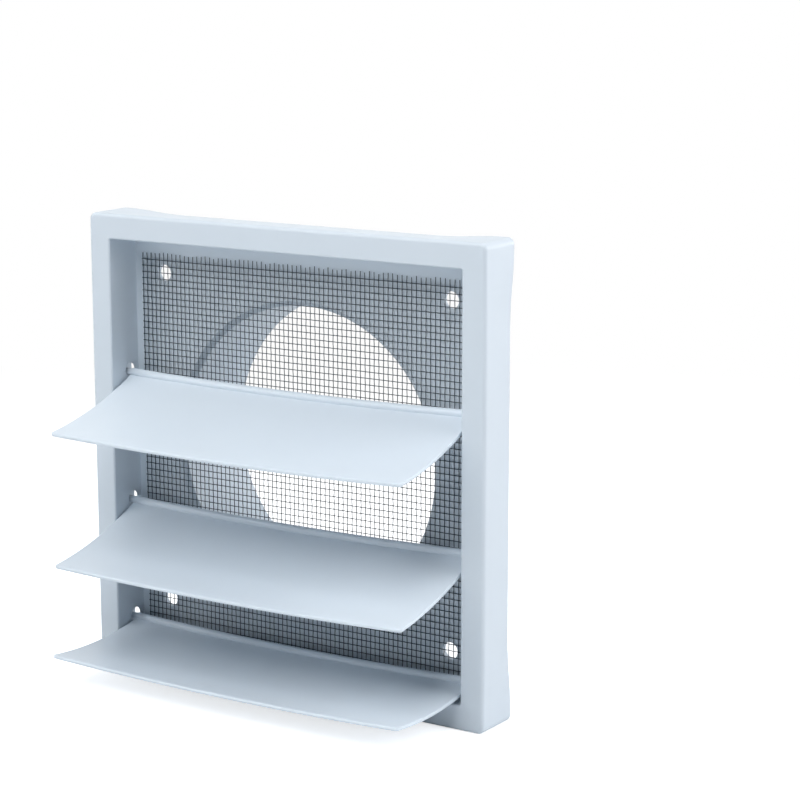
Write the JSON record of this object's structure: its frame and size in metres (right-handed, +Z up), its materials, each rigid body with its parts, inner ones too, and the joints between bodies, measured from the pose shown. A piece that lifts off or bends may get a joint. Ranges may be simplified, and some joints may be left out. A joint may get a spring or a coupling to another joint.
{
  "type": "dryer vent cap",
  "caption": "Square white plastic wall vent cap for a round duct, with swinging gravity flaps in front of a woven insect screen and a duct collar behind.",
  "frame": {"origin": "on the duct collar's axis, in the plane of the wall that the skirt's rear edge meets", "axes": "+Y runs into the wall along the duct collar, so the front face looks along -Y. +Z is up in the picture's stance, in which the vent is turned half round about Y from use and the flaps have fallen open. On a wall -Z is up, and the flaps hang shut."},
  "size_m": [0.1502, 0.0796, 0.1502],
  "materials": {
    "moulded_white": "injection-moulded white plastic with a soft satin gloss",
    "flap_white": "thin injection-moulded white plastic, slightly glossier than the body",
    "black_mesh": "woven black coated screen wire"
  },
  "bodies": {
    "vent": {"body": "moulded_white", "insect_screen": "black_mesh"},
    "upper_flap": {"flap_upper": "flap_white"},
    "middle_flap": {"flap_middle": "flap_white"},
    "lower_flap": {"flap_lower": "flap_white"}
  },
  "joints": [
    {"name": "upper_flap_hinge", "type": "hinge", "parent": "vent", "child": "upper_flap", "pos_m": [0, -0.0071, 0.0217], "axis": [-1, 0, 0], "range_deg": [0, 104]},
    {"name": "middle_flap_hinge", "type": "hinge", "parent": "vent", "child": "middle_flap", "pos_m": [0, -0.0071, -0.0217], "axis": [-1, 0, 0], "range_deg": [0, 104]},
    {"name": "lower_flap_hinge", "type": "hinge", "parent": "vent", "child": "lower_flap", "pos_m": [0, -0.0071, -0.0621], "axis": [-1, 0, 0], "range_deg": [0, 89]}
  ],
  "couplings": [
    {"joint": "middle_flap_hinge", "follows": "upper_flap_hinge", "ratio": 1},
    {"joint": "lower_flap_hinge", "follows": "upper_flap_hinge", "ratio": 0.85577}
  ]
}
